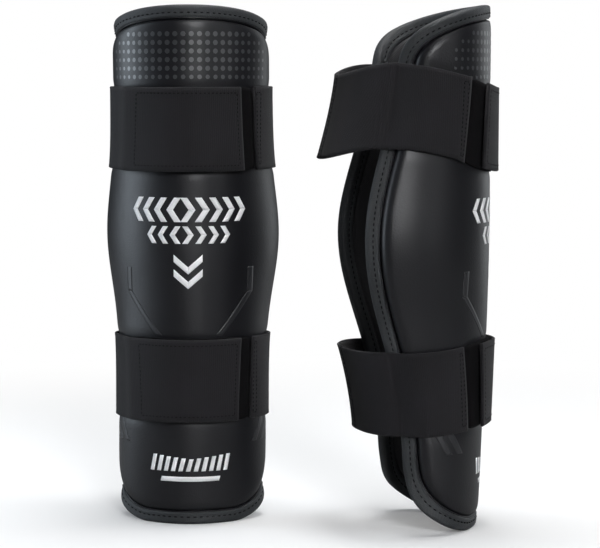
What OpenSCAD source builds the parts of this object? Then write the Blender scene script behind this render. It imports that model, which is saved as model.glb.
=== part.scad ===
// A pair of padded shin guards for the lower leg, each with two elastic closing straps.
// Each guard is made in its own frame: nose at the front (-Y), wings to the back (+Y), Z up.

/* [Shell] */
// Height of a guard from its lowest hem to its top
guard_h = 373; // [350:1:400]
// Half of the width at the calf, the widest level
calf_half_w = 64; // [60:0.5:68]
// Half of the width at the ankle end
ankle_half_w = 54.5; // [52:0.5:58]
// Half of the width at the knee end
knee_half_w = 57.5; // [54:0.5:60]
// Height of the widest level
calf_z = 205; // [190:1:220]
// Depth from the nose to the wing edges at the ankle end
ankle_depth = 59.5; // [56:0.5:64]
// Depth from the nose to the wing edges at the knee end
knee_depth = 70; // [66:0.5:74]
// How much deeper the wings are at the calf
calf_extra_depth = 32.5; // [26:0.5:36]
// How far the nose line leans back at the ankle end
nose_lean = 8; // [4:0.5:12]
// Angle from the nose round to a wing edge
wing_angle = 112; // [106:1:116]

/* [Padding] */
// Whole thickness of the raised pad
pad_t = 14; // [12:0.5:16]
// Thickness of the flat flange round the pad
flange_t = 6; // [5:0.5:7]
// Thickness of the outer cover
cover_t = 1.4; // [1.2:0.1:1.8]
// Thickness of the inner lining
lining_t = 1; // [0.8:0.1:1.4]
// Distance from the hem to the foot of the raised pad
flange_w = 11; // [10:0.5:15]
// Width of the binding tape on each face
tape_w = 8; // [6:0.5:10]
// Thickness of the binding tape
tape_t = 1; // [0.8:0.1:1.2]

/* [Straps] */
// Width of the elastic straps
strap_w = 60; // [50:1:64]
// Height of the middle of the upper strap
upper_strap_z = 285.5; // [275:0.5:290]
// Height of the middle of the lower strap
lower_strap_z = 105; // [96:0.5:110]
// Thickness of the elastic webbing
elastic_t = 1.6; // [1.2:0.1:2]
// Thickness of the stiffened closing tab
tab_t = 2.3; // [2:0.1:2.8]
// Thickness of the loop panel on the shell
loop_t = 2; // [1.5:0.1:2.4]
// Thickness of the hook patch under the tab
hook_t = 1.6; // [1.2:0.1:2]

/* [Pair] */
// Turn of the right guard about the vertical
right_yaw = 100; // [90:1:110]
// Place of the left guard's nose across the pair
left_x = -79.4; // [-90:0.1:-76]
// Place of the left guard's nose in depth
left_y = -38.1; // [-44:0.1:-30]
// Place of the right guard's nose across the pair
right_x = 136.6; // [134:0.1:146]
// Place of the right guard's nose in depth
right_y = -13.1; // [-20:0.1:0]

/* [Hidden] */

// Shape of the plan section: 0 is an ellipse, more gives a sharper nose.
nose_sharpness = 0.065;
// Spread of the calf bulge in width and in depth.
width_spread = 48;
depth_spread = 90;
// Heights of the rounded corners at the top and bottom of the wings.
top_corner_h = 46;
bottom_corner_h = 60;
corner_power = 2.4;
// How far the hem is pushed out at the top and bottom, where it is flush with the pad,
// and the height over which that fades.
hem_flare = 6.5;
flare_fade = 35;
flare_full = 8;
foot_drop = 3;
foot_blend = 1.2;
// Widths of the rings next to the hem, where the cover climbs onto the pad.
ring_inset = [0, flange_w, flange_w + 3, flange_w + 12];
pad_rise = pad_t - flange_t;
ring_rise = [0, 0, 0.66 * pad_rise, pad_rise];
// Cells across and up a shell layer.
shell_cols = 20;
shell_rows = 16;
// Hair's breadth between the foams and what covers them.
hair = 0.03;
// Free air between the shell and a strap, and between the hook patch and the loop panel.
strap_gap = 1.8;
hook_gap = 0.4;
// Air left between pieces that are sewn flat to each other.
lay_gap = 0.2;
// Angles round the section where the strap's pieces begin and end.
loop_end = 57;
tab_end = 41.5;
hook_end = 39;
band_hinge = 99;
tab_hinge = 78;
tab_full = 50;
joint_gap = 1.6;
strap_step = 7;
back_steps = 14;
// Each strap: middle height, rise at the wing edges, rise at the back, and bulge behind the wings.
left_upper = [upper_strap_z, 1, 1, 31];
left_lower = [lower_strap_z, -1, -1, 22];
right_upper = [upper_strap_z, 17, 9, 31];
right_lower = [lower_strap_z, -5, -5, 22];

function lerp(a, b, t) = a + (b - a) * t;
function ease(x) = let (t = max(0, min(1, x))) t * t * (3 - 2 * t);
function bump(z, spread) = exp(-pow((z - calf_z) / spread, 2));

// Outer half width, outer depth and nose line at a height.
calf_extra_w = calf_half_w - (ankle_half_w + knee_half_w) / 2;
function half_w(z) = lerp(ankle_half_w, knee_half_w, ease((z - 100) / 200))
  + calf_extra_w * bump(z, width_spread);
function depth(z) = lerp(ankle_depth, knee_depth, z / guard_h) + calf_extra_depth * bump(z, depth_spread);
function nose_y(z) = nose_lean * pow(max(0, 1 - z / 200), 1.4);

// Plan section of the lining's inner face at height z and angle a, and its outward normal.
function base_w(z) = half_w(z) - pad_t;
function base_d(z) = depth(z) - pad_t;
function section_point(z, a) = [
  base_w(z) * (sin(a) - nose_sharpness * sin(3 * a)) / (1 + nose_sharpness),
  nose_y(z) + pad_t + base_d(z) * (1 - cos(a)) / (1 - cos(wing_angle))
];
function section_slope(z, a) = [
  base_w(z) * (cos(a) - 3 * nose_sharpness * cos(3 * a)) / (1 + nose_sharpness),
  base_d(z) * sin(a) / (1 - cos(wing_angle))
];
function section_normal(z, a) = let (s = section_slope(z, a)) [s[1], -s[0]] / norm(s);
function skin(z, a, t) = let (p = section_point(z, a), n = section_normal(z, a))
  [p[0] + t * n[0], p[1] + t * n[1], z];

// Outline of a shell layer, inset from the hem by m.
function edge_angle(z, m) = wing_angle - m / (norm(section_slope(z, wing_angle)) * PI / 180);
function corner(s) = pow(1 - pow(abs(s), corner_power), 1 / corner_power);
function top_z(s, m) = guard_h - top_corner_h + (top_corner_h - m) * corner(s);
// The soft hem is pressed flat where it stands, for as far as its curve rises under foot_drop.
function pressed_flat(r) = r <= foot_drop ? 0 : pow(r - foot_drop, 2) / (r - foot_drop + foot_blend);
function bottom_z(s, m) = m + pressed_flat((bottom_corner_h - m) * (1 - corner(s)));
function spread_cols(u) = 0.5 * u + 0.5 * sin(90 * u);
function flare(z) = hem_flare
  * (ease((z - guard_h + flare_full + flare_fade) / flare_fade) + ease((flare_full + flare_fade - z) / flare_fade));
// Share of the pad's rise at a distance m from the hem.
function shoulder(m) = let (x = max(0, min(1, (m - flange_w) / 12))) sqrt(1 - pow(1 - x, 2));
function outline_point(s, v, m, t) =
  let (z = lerp(bottom_z(s, m), top_z(s, m), v), a = s * edge_angle(z, m))
  skin(z, a, t + flare(z) * (1 - shoulder(m)));

// Grid of points of one face of a shell layer. Rings next to the hem follow ring_inset,
// and rises adds to the face's height t ring by ring.
function layer_grid(t, rises) = [
  for (j = [0:shell_rows]) [
    for (i = [0:shell_cols])
      let (
        ring = min(i, shell_cols - i, j, shell_rows - j, len(ring_inset) - 1),
        u = -1 + 2 * (i - ring) / (shell_cols - 2 * ring),
        v = (j - ring) / (shell_rows - 2 * ring)
      )
      outline_point(spread_cols(u), v, ring_inset[ring], t + rises[ring])
  ]
];
// The same grid without its outer rings.
function trimmed(grid, rings) = [
  for (j = [rings:len(grid) - 1 - rings]) [for (i = [rings:len(grid[0]) - 1 - rings]) grid[j][i]]
];

// Closed solid between two grids with the same rows and columns.
module slab(inner, outer) {
  rows = len(inner);
  cols = len(inner[0]);
  shift = rows * cols;
  points = concat([for (r = inner) each r], [for (r = outer) each r]);
  quads = concat(
    [for (r = [0:rows - 2], c = [0:cols - 2])
      [shift + r * cols + c, shift + (r + 1) * cols + c,
        shift + (r + 1) * cols + c + 1, shift + r * cols + c + 1]],
    [for (r = [0:rows - 2], c = [0:cols - 2])
      [r * cols + c, r * cols + c + 1, (r + 1) * cols + c + 1, (r + 1) * cols + c]],
    [for (c = [0:cols - 2]) [shift + c, shift + c + 1, c + 1, c]],
    [for (c = [0:cols - 2]) let (k = (rows - 1) * cols + c) [shift + k + 1, shift + k, k, k + 1]],
    [for (r = [0:rows - 2]) let (k = r * cols) [shift + k + cols, shift + k, k, k + cols]],
    [for (r = [0:rows - 2]) let (k = r * cols + cols - 1) [shift + k, shift + k + cols, k + cols, k]]
  );
  triangles = [for (q = quads) each [[q[0], q[1], q[2]], [q[0], q[2], q[3]]]];
  polyhedron(points = points, faces = triangles, convexity = 8);
}

// Layers share their grids, so they meet face to face. The foams lie a hair inside them.
flat = [0, 0, 0, 0];
module outer_cover() color([0.07, 0.07, 0.08])
  slab(layer_grid(flange_t - cover_t, ring_rise), layer_grid(flange_t, ring_rise));

module impact_foam() color([0.62, 0.63, 0.66]) slab(
  trimmed(layer_grid(flange_t - cover_t + hair, flat), 2),
  trimmed(layer_grid(flange_t - cover_t - hair, ring_rise), 2)
);

module comfort_foam() color([0.85, 0.84, 0.8])
  slab(layer_grid(lining_t + hair, flat), layer_grid(flange_t - cover_t - hair, flat));

module inner_lining() color([0.1, 0.1, 0.11]) slab(layer_grid(0, flat), layer_grid(lining_t, flat));

// Binding: a folded tape that wraps the hem on both faces, all the way round.
function hem_stations() = concat(
  [for (i = [0:shell_cols - 1]) [spread_cols(-1 + 2 * i / shell_cols), 0]],
  [for (j = [0:shell_rows - 1]) [1, j / shell_rows]],
  [for (i = [shell_cols:-1:1]) [spread_cols(-1 + 2 * i / shell_cols), 1]],
  [for (j = [shell_rows:-1:1]) [-1, j / shell_rows]]
);
// Tape section: [distance out of the hem, height over the lining], in order round it.
function tape_profile() = let (t = tape_t, w = tape_w) [
  [-w, flange_t + hair], [0.05, flange_t + hair], [0.05, -hair], [-w, -hair],
  [-w, -t], [t, -t], [t, flange_t + t], [-w, flange_t + t]
];
// Direction out of the hem at station i.
function hem_out(i, stations) =
  let (
    n = len(stations),
    at = function (k, m) outline_point(stations[k % n][0], stations[k % n][1], m, 0),
    along = (at(i + 1, 0) - at(i + n - 1, 0)) / norm(at(i + 1, 0) - at(i + n - 1, 0)),
    reach = at(i, 0) - at(i, flange_w),
    out = reach - (reach * along) * along
  ) out / norm(out);
// Point of the tape: its arms follow the faces of the flange.
function tape_point(station, p, out) = p[0] < 0
  ? lerp(outline_point(station[0], station[1], 0, p[1]),
      outline_point(station[0], station[1], flange_w, p[1]), -p[0] / flange_w)
  : outline_point(station[0], station[1], 0, p[1]) + p[0] * out;

module edge_binding() {
  stations = hem_stations();
  profile = tape_profile();
  n = len(stations);
  k = len(profile);
  points = [
    for (i = [0:n - 1]) let (out = hem_out(i, stations))
      for (p = profile) tape_point(stations[i], p, out)
  ];
  triangles = [
    for (i = [0:n - 1], j = [0:k - 1])
      let (a = i * k + j, b = i * k + (j + 1) % k, c = ((i + 1) % n) * k + (j + 1) % k, d = ((i + 1) % n) * k + j)
      each [[a, b, c], [a, c, d]]
  ];
  color([0.24, 0.26, 0.28]) polyhedron(points = points, faces = triangles, convexity = 10);
}

// Height of a strap's inner face over the lining: on the pad, then down to the hem at the wings.
function strap_seat(a) = let (full = 88, foot = wing_angle)
  lerp(pad_t, flange_t + tape_t, ease((abs(a) - full) / (foot - full))) + strap_gap;
// Rise of a strap along its way, for angles on the shell.
function strap_rise(strap, a) = strap[1] * ease(abs(a) / wing_angle * 1.15 - 0.15);
// Height of the tab's inner face: flat on the hook patch at the front, down on the pad at the side.
hook_seat = pad_t + loop_t + hook_gap;
function tab_slope(a) = ease((-a - tab_full) / 20);
function tab_seat(a) = lerp(hook_seat + hook_t, strap_seat(a), tab_slope(a));

// Angle at height z that lies as far back as angle a does at height z0.
function same_depth_angle(z, z0, a) =
  let (
    behind = section_point(z0, a)[1] - nose_y(z) - pad_t,
    c = 1 - behind * (1 - cos(wing_angle)) / base_d(z)
  ) (a < 0 ? -1 : 1) * acos(max(-1, min(1, c)));
// The straps' hinge lines stand upright, so near them a column keeps one depth at every height.
function upright(a) = ease((abs(a) - loop_end) / 12) * ease((wing_angle - abs(a)) / 10);
// One column of strap points at angle a, over the strap's width w. The height of a point
// over the lining is the function t of its own angle.
function strap_column(strap, a, t, w) = let (z0 = strap[0] + strap_rise(strap, a)) [
  for (k = [-0.5, 0, 0.5])
    let (z = z0 + k * w, own = lerp(a, same_depth_angle(z, z0, a), upright(a)))
      skin(z, own, t(own))
];
function turned(columns) = [for (k = [0:2]) [for (c = columns) c[k]]];
function steps(a, b) = let (n = ceil(abs(b - a) / strap_step)) [for (i = [0:n]) lerp(a, b, i / n)];

// Angle that a length of strap takes up at angle a.
function length_angle(strap, a, mm) = mm / (norm(section_slope(strap[0], a)) * PI / 180);

// Strip of the strap's way between two grids, over a list of angles.
module strip(strap, angles, w, inner_t, outer_t) slab(
  turned([for (a = angles) strap_column(strap, a, inner_t, w)]),
  turned([for (a = angles) strap_column(strap, a, outer_t, w)])
);

module loop_panel(strap) color([0.04, 0.04, 0.045])
  strip(strap, steps(-loop_end, loop_end), strap_w + 1,
    function (a) pad_t + lay_gap, function (a) pad_t + loop_t);

module hook_patch(strap) color([0.02, 0.02, 0.02])
  strip(strap, steps(-hook_end - 3, hook_end), strap_w - 6,
    function (a) hook_seat, function (a) hook_seat + hook_t - lay_gap);

module strap_anchor(strap) {
  half_gap = length_angle(strap, band_hinge, joint_gap / 2);
  angles = steps(loop_end + 1, band_hinge - half_gap);
  color([0.12, 0.12, 0.13]) strip(strap, angles, strap_w,
    function (a) strap_seat(a), function (a) strap_seat(a) + elastic_t);
}

module strap_tab(strap) {
  half_gap = length_angle(strap, tab_hinge, joint_gap / 2);
  angles = concat(
    steps(-tab_hinge + half_gap, -tab_full),
    [for (a = steps(-tab_full, tab_end)) if (a > -tab_full) a]
  );
  color([0.13, 0.13, 0.14]) strip(strap, angles, strap_w,
    function (a) tab_seat(a), function (a) tab_seat(a) + lerp(tab_t, elastic_t, tab_slope(a)));
}

// Back run: half an oval from the right wing edge, round the calf, to the left wing edge.
function back_column(strap, q, t) =
  let (
    turn = 180 * q,
    seat = strap_seat(wing_angle) + t,
    rise = strap[2] + (strap[1] - strap[2]) * pow(cos(turn), 2)
  )
  [for (k = [-0.5, 0, 0.5])
    let (
      z = strap[0] + rise + k * strap_w,
      wing = skin(z, wing_angle, seat),
      edge = skin(strap[0] + k * strap_w, wing_angle, strap_seat(wing_angle))
    )
    [wing[0] * cos(turn), wing[1] + (strap[3] + wing[0] - edge[0]) * sin(turn), z]];

module strap_band(strap) {
  right = steps(band_hinge + length_angle(strap, band_hinge, joint_gap / 2), wing_angle);
  left = steps(-wing_angle, -tab_hinge - length_angle(strap, tab_hinge, joint_gap / 2));
  face = function (t) turned(concat(
    [for (a = right) if (a < wing_angle) strap_column(strap, a, function (b) strap_seat(b) + t, strap_w)],
    [for (i = [0:back_steps]) back_column(strap, i / back_steps, t)],
    [for (a = left) if (a > -wing_angle) strap_column(strap, a, function (b) strap_seat(b) + t, strap_w)]
  ));
  color([0.12, 0.12, 0.13]) slab(face(0), face(elastic_t));
}

module left_guard() translate([left_x, left_y, tape_t]) children();
module right_guard() translate([right_x, right_y, tape_t]) rotate([0, 0, right_yaw]) mirror([1, 0, 0]) children();

left_guard() outer_cover();  // left_outer_cover
left_guard() impact_foam();  // left_impact_foam
left_guard() comfort_foam();  // left_comfort_foam
left_guard() inner_lining();  // left_inner_lining
left_guard() edge_binding();  // left_edge_binding
left_guard() loop_panel(left_upper);  // left_upper_loop_panel
left_guard() strap_anchor(left_upper);  // left_upper_strap_anchor
left_guard() strap_band(left_upper);  // left_upper_strap_band
left_guard() strap_tab(left_upper);  // left_upper_strap_tab
left_guard() hook_patch(left_upper);  // left_upper_hook_patch
left_guard() loop_panel(left_lower);  // left_lower_loop_panel
left_guard() strap_anchor(left_lower);  // left_lower_strap_anchor
left_guard() strap_band(left_lower);  // left_lower_strap_band
left_guard() strap_tab(left_lower);  // left_lower_strap_tab
left_guard() hook_patch(left_lower);  // left_lower_hook_patch
right_guard() outer_cover();  // right_outer_cover
right_guard() impact_foam();  // right_impact_foam
right_guard() comfort_foam();  // right_comfort_foam
right_guard() inner_lining();  // right_inner_lining
right_guard() edge_binding();  // right_edge_binding
right_guard() loop_panel(right_upper);  // right_upper_loop_panel
right_guard() strap_anchor(right_upper);  // right_upper_strap_anchor
right_guard() strap_band(right_upper);  // right_upper_strap_band
right_guard() strap_tab(right_upper);  // right_upper_strap_tab
right_guard() hook_patch(right_upper);  // right_upper_hook_patch
right_guard() loop_panel(right_lower);  // right_lower_loop_panel
right_guard() strap_anchor(right_lower);  // right_lower_strap_anchor
right_guard() strap_band(right_lower);  // right_lower_strap_band
right_guard() strap_tab(right_lower);  // right_lower_strap_tab
right_guard() hook_patch(right_lower);  // right_lower_hook_patch
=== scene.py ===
"""Looks of a pair of padded shin guards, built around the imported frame."""
import sys
import logging
import math
from dataclasses import dataclass, field
from enum import Enum
from typing import Callable, Sequence

import bpy
import numpy as np
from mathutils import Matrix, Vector


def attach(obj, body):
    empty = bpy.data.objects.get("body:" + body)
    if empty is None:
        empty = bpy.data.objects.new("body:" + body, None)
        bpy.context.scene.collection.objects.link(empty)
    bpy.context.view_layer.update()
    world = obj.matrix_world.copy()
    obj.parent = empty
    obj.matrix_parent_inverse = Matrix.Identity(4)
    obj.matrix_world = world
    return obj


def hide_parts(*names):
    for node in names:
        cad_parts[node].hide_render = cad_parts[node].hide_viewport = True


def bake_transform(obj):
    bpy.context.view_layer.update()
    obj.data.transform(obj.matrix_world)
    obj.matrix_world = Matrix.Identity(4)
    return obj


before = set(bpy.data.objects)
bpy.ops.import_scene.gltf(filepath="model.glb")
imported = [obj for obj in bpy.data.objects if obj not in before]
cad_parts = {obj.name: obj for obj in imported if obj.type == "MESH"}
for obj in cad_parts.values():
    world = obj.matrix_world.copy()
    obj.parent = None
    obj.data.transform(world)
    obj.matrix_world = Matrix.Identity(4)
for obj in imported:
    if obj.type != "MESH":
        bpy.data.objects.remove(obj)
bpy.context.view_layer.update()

MM = 0.001
UV_LAYER = "UVMap"
# Length, width and height of a stitch on the hem and on the straps, in millimetres.
HEM_STITCH = (3.0, 1.05, 0.6)
STRAP_STITCH = (2.2, 0.95, 0.55)
LOG = logging.getLogger("shin_guards")

Array = np.ndarray


def ease(x: Array) -> Array:
    """Smooth step from 0 at 0 to 1 at 1."""
    t = np.clip(x, 0.0, 1.0)
    return t * t * (3.0 - 2.0 * t)


def mix(a: Array, b: Array, t: Array) -> Array:
    """Value between a and b at share t."""
    return a + (b - a) * t


class Side(Enum):
    """The leg that a guard is worn on."""

    LEFT = "left"
    RIGHT = "right"


class Level(Enum):
    """Place of a strap on a guard."""

    UPPER = "upper"
    LOWER = "lower"


# ---------------------------------------------------------------- shapes


@dataclass(frozen=True)
class ShellShape:
    """Form of a guard's shell, in millimetres, in the guard's own frame."""

    height: float = 373.0
    calf_half_w: float = 64.0
    ankle_half_w: float = 54.5
    knee_half_w: float = 57.5
    calf_z: float = 205.0
    ankle_depth: float = 59.5
    knee_depth: float = 70.0
    calf_extra_depth: float = 32.5
    nose_lean: float = 8.0
    wing_angle: float = math.radians(112.0)
    pad_t: float = 14.0
    flange_t: float = 6.0
    flange_w: float = 9.6
    shoulder_w: float = 6.5
    nose_sharpness: float = 0.065
    width_spread: float = 48.0
    depth_spread: float = 90.0
    top_corner_h: float = 46.0
    bottom_corner_h: float = 60.0
    corner_power: float = 2.4
    hem_flare: float = 6.5
    flare_fade: float = 35.0
    flare_full: float = 8.0
    foot_drop: float = 3.0
    foot_blend: float = 1.2

    def half_w(self, z: Array) -> Array:
        """Outer half width at a height."""
        extra = self.calf_half_w - (self.ankle_half_w + self.knee_half_w) / 2
        bulge = np.exp(-(((z - self.calf_z) / self.width_spread) ** 2))
        return mix(self.ankle_half_w, self.knee_half_w, ease((z - 100.0) / 200.0)) + extra * bulge

    def depth(self, z: Array) -> Array:
        """Outer depth from the nose to the wing edges at a height."""
        bulge = np.exp(-(((z - self.calf_z) / self.depth_spread) ** 2))
        return mix(self.ankle_depth, self.knee_depth, z / self.height) + self.calf_extra_depth * bulge

    def nose_y(self, z: Array) -> Array:
        """How far the nose line has leaned back at a height."""
        return self.nose_lean * np.maximum(0.0, 1.0 - z / 200.0) ** 1.4

    def section(self, z: Array, a: Array) -> tuple[Array, Array]:
        """Plan point of the lining's inner face.

        Args:
            z: Heights.
            a: Angles round the section, 0 at the nose.

        Returns:
            The x and y of each point.
        """
        k = self.nose_sharpness
        x = (self.half_w(z) - self.pad_t) * (np.sin(a) - k * np.sin(3 * a)) / (1 + k)
        reach = (self.depth(z) - self.pad_t) / (1 - math.cos(self.wing_angle))
        return x, self.nose_y(z) + self.pad_t + reach * (1 - np.cos(a))

    def slope(self, z: Array, a: Array) -> tuple[Array, Array]:
        """Rate of change of section() with the angle."""
        k = self.nose_sharpness
        dx = (self.half_w(z) - self.pad_t) * (np.cos(a) - 3 * k * np.cos(3 * a)) / (1 + k)
        reach = (self.depth(z) - self.pad_t) / (1 - math.cos(self.wing_angle))
        return dx, reach * np.sin(a)

    def skin(self, z: Array, a: Array, t: Array) -> Array:
        """Points at height z and angle a, t millimetres out of the lining.

        Args:
            z: Heights.
            a: Angles round the section.
            t: Heights over the lining's inner face.

        Returns:
            An array of points, with x, y, z last.
        """
        z, a, t = np.broadcast_arrays(np.asarray(z, float), np.asarray(a, float), np.asarray(t, float))
        x, y = self.section(z, a)
        dx, dy = self.slope(z, a)
        length = np.hypot(dx, dy)
        return np.stack([x + t * dy / length, y - t * dx / length, z], axis=-1)

    def edge_angle(self, z: Array, inset: Array) -> Array:
        """Angle of the outline at a height, inset from the hem."""
        dx, dy = self.slope(z, np.full_like(np.asarray(z, float), self.wing_angle))
        return self.wing_angle - inset / np.hypot(dx, dy)

    def outline(self, s: Array, v: Array, inset: Array, t: Array) -> Array:
        """Point of the shell by shares of its outline.

        Args:
            s: Share across, -1 at one wing edge and 1 at the other.
            v: Share up, 0 at the bottom hem and 1 at the top.
            inset: Distance of the outline inside the hem.
            t: Height over the lining's inner face.

        Returns:
            An array of points.
        """
        z, a = self.outline_place(s, v, inset)
        return self.skin(z, a, t + self.flare(z, inset))

    def outline_place(self, s: Array, v: Array, inset: Array) -> tuple[Array, Array]:
        """Height and angle of a point of the outline; see outline()."""
        round_off = np.maximum(0.0, 1 - np.abs(s) ** self.corner_power) ** (1 / self.corner_power)
        top = self.height - self.top_corner_h + (self.top_corner_h - inset) * round_off
        rise = np.maximum(0.0, (self.bottom_corner_h - inset) * (1 - round_off) - self.foot_drop)
        bottom = inset + rise ** 2 / (rise + self.foot_blend)
        z = mix(bottom, top, v)
        return z, s * self.edge_angle(z, inset)

    def flare(self, z: Array, inset: Array) -> Array:
        """How far the hem is pushed out near the top and bottom, fading to none on the pad."""
        reach = self.flare_full + self.flare_fade
        ends = ease((z - self.height + reach) / self.flare_fade) + ease((reach - z) / self.flare_fade)
        return self.hem_flare * ends * (1 - self.shoulder(np.asarray(inset, float)))

    def shoulder(self, inset: Array) -> Array:
        """Share of the pad's rise at a distance from the hem: a round shoulder over the flange."""
        x = np.clip((inset - self.flange_w) / self.shoulder_w, 0.0, 1.0)
        return np.sqrt(1 - (1 - x) ** 2)

    def arc(self, z: Array, a: Array, t: float, samples: int = 48) -> Array:
        """Length round the section from the nose to angle a, at height t over the lining.

        Args:
            z: Heights.
            a: Angles.
            t: Height over the lining.
            samples: Steps of the sum.

        Returns:
            Signed lengths in millimetres.
        """
        shares = np.linspace(0, 1, samples + 1)
        points = self.skin(np.asarray(z, float)[..., None], np.asarray(a, float)[..., None] * shares, t)
        steps = np.linalg.norm(np.diff(points, axis=-2), axis=-1)
        return np.sign(a) * steps.sum(axis=-1)

    def angle_at(self, z: Array, u: Array, t: float) -> Array:
        """Angle at which the length round the section is u; the reverse of arc()."""
        shares = np.linspace(0, self.wing_angle, 160)
        z = np.atleast_1d(np.asarray(z, float))
        u = np.atleast_1d(np.asarray(u, float))
        points = self.skin(z[:, None], shares[None, :], t)
        lengths = np.cumsum(np.linalg.norm(np.diff(points, axis=1), axis=-1), axis=1)
        lengths = np.concatenate([np.zeros((len(z), 1)), lengths], axis=1)
        angles = [np.interp(abs(ui), row, shares) for ui, row in zip(u, lengths)]
        return np.sign(u) * np.array(angles)


@dataclass(frozen=True)
class StrapShape:
    """Way of one elastic strap round a guard, in millimetres and radians."""

    shell: ShellShape
    middle_z: float
    wing_rise: float
    back_rise: float
    back_bulge: float
    width: float = 60.0
    elastic_t: float = 1.9
    tab_t: float = 2.3
    loop_t: float = 2.0
    hook_t: float = 1.6
    hook_gap: float = 0.4
    rest_gap: float = 0.45
    full_pad: float = math.radians(88.0)
    tab_full: float = math.radians(50.0)
    tab_fade: float = math.radians(20.0)
    loop_end: float = math.radians(57.0)
    tab_end: float = math.radians(41.5)
    hook_end: float = math.radians(39.0)

    def seat(self, a: Array) -> Array:
        """Height of the strap's inner face over the lining: on the pad, then down to the hem."""
        wing = self.shell.wing_angle
        drop = ease((np.abs(a) - self.full_pad) / (wing - self.full_pad))
        return mix(self.shell.pad_t, self.shell.flange_t + 1.2, drop) + self.rest_gap

    def tab_share(self, a: Array) -> Array:
        """0 on the thick front of the tab, 1 where it has come down to plain elastic."""
        return ease((-a - self.tab_full) / self.tab_fade)

    def hook_seat(self) -> float:
        """Height of the hook patch's inner face over the lining."""
        return self.shell.pad_t + self.loop_t + self.hook_gap

    def tab_seat(self, a: Array) -> Array:
        """Height of the tab's inner face over the lining."""
        return mix(self.hook_seat() + self.hook_t, self.seat(a), self.tab_share(a))

    def rise(self, a: Array) -> Array:
        """How much higher the strap's middle lies at an angle than at the nose."""
        return self.wing_rise * ease(np.abs(a) / self.shell.wing_angle * 1.15 - 0.15)

    def own_angle(self, z: Array, z0: Array, a: Array) -> Array:
        """Angle at height z of the upright line that has angle a at height z0."""
        shell = self.shell
        behind = shell.section(z0, a)[1] - shell.nose_y(z) - shell.pad_t
        cosine = 1 - behind * (1 - math.cos(shell.wing_angle)) / (shell.depth(z) - shell.pad_t)
        same_depth = np.sign(a) * np.arccos(np.clip(cosine, -1, 1))
        weight = ease((np.abs(a) - self.loop_end) / math.radians(12)) * ease(
            (shell.wing_angle - np.abs(a)) / math.radians(10))
        return mix(a, same_depth, weight)

    def on_shell(self, a: Array, w: Array, t: Callable[[Array], Array]) -> Array:
        """Points of the strap on the shell.

        Args:
            a: Angles along the strap.
            w: Distances across the strap from its middle.
            t: Height over the lining as a function of the angle.

        Returns:
            An array of points.
        """
        z0 = self.middle_z + self.rise(a)
        z = z0 + w
        own = self.own_angle(z, z0, a)
        return self.shell.skin(z, own, t(own))

    def behind(self, q: Array, w: Array, t: Array) -> Array:
        """Points of the strap's run behind the leg.

        Args:
            q: Share of the way from one wing edge to the other.
            w: Distances across the strap.
            t: Distances out of the strap's inner face.

        Returns:
            An array of points.
        """
        turn = np.pi * q
        wing_seat = self.seat(np.array(self.shell.wing_angle))
        rise = self.back_rise + (self.wing_rise - self.back_rise) * np.cos(turn) ** 2
        wing = self.shell.skin(self.middle_z + rise + w, self.shell.wing_angle, wing_seat + t)
        x = wing[..., 0] * np.cos(turn)
        y = wing[..., 1] + (self.back_bulge + t) * np.sin(turn)
        return np.stack([x, y, wing[..., 2]], axis=-1)


@dataclass(frozen=True)
class Stance:
    """Where a guard stands: its nose's place, its turn and whether it is the mirrored one."""

    x: float
    y: float
    yaw: float
    mirrored: bool
    lift: float = 1.0

    def place(self, points: Array) -> Array:
        """Points of the guard's frame, in millimetres, as points of the shared frame, in metres."""
        p = np.array(points, float)
        if self.mirrored:
            p[..., 0] = -p[..., 0]
        c, s = math.cos(self.yaw), math.sin(self.yaw)
        x = c * p[..., 0] - s * p[..., 1] + self.x
        y = s * p[..., 0] + c * p[..., 1] + self.y
        return np.stack([x, y, p[..., 2] + self.lift], axis=-1) * MM


# ---------------------------------------------------------------- mesh work


def make_object(name: str, points: Array, faces: Sequence[Sequence[int]], uv: Array | None = None,
                smooth: bool = True) -> bpy.types.Object:
    """Mesh object at the origin.

    Args:
        name: Name of the piece.
        points: Vertices in metres.
        faces: Corner indices of each face.
        uv: One UV pair for each vertex, in metres along the surface.
        smooth: Whether faces shade smoothly.

    Returns:
        The linked object.
    """
    mesh = bpy.data.meshes.new(name)
    mesh.from_pydata(np.asarray(points).reshape(-1, 3).tolist(), [], [list(map(int, f)) for f in faces])
    mesh.validate()
    if uv is not None:
        layer = mesh.uv_layers.new(name=UV_LAYER)
        corner_vertex = np.zeros(len(mesh.loops), dtype=np.int32)
        mesh.loops.foreach_get("vertex_index", corner_vertex)
        flat = np.asarray(uv, float).reshape(-1, 2)[corner_vertex].ravel()
        layer.data.foreach_set("uv", flat.astype(np.float32))
    mesh.polygons.foreach_set("use_smooth", [smooth] * len(mesh.polygons))
    obj = bpy.data.objects.new(name, mesh)
    bpy.context.collection.objects.link(obj)
    return obj


def point_outwards(obj: bpy.types.Object) -> None:
    """Turns a closed mesh's faces outwards by the sign of its volume."""
    mesh = obj.data
    mesh.calc_loop_triangles()
    count = len(mesh.loop_triangles)
    corners = np.zeros(count * 3, dtype=np.int32)
    mesh.loop_triangles.foreach_get("vertices", corners)
    points = np.zeros(len(mesh.vertices) * 3)
    mesh.vertices.foreach_get("co", points)
    tri = points.reshape(-1, 3)[corners.reshape(-1, 3)]
    volume = np.einsum("ij,ij->i", tri[:, 0], np.cross(tri[:, 1], tri[:, 2])).sum()
    if volume < 0:
        mesh.flip_normals()


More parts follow.
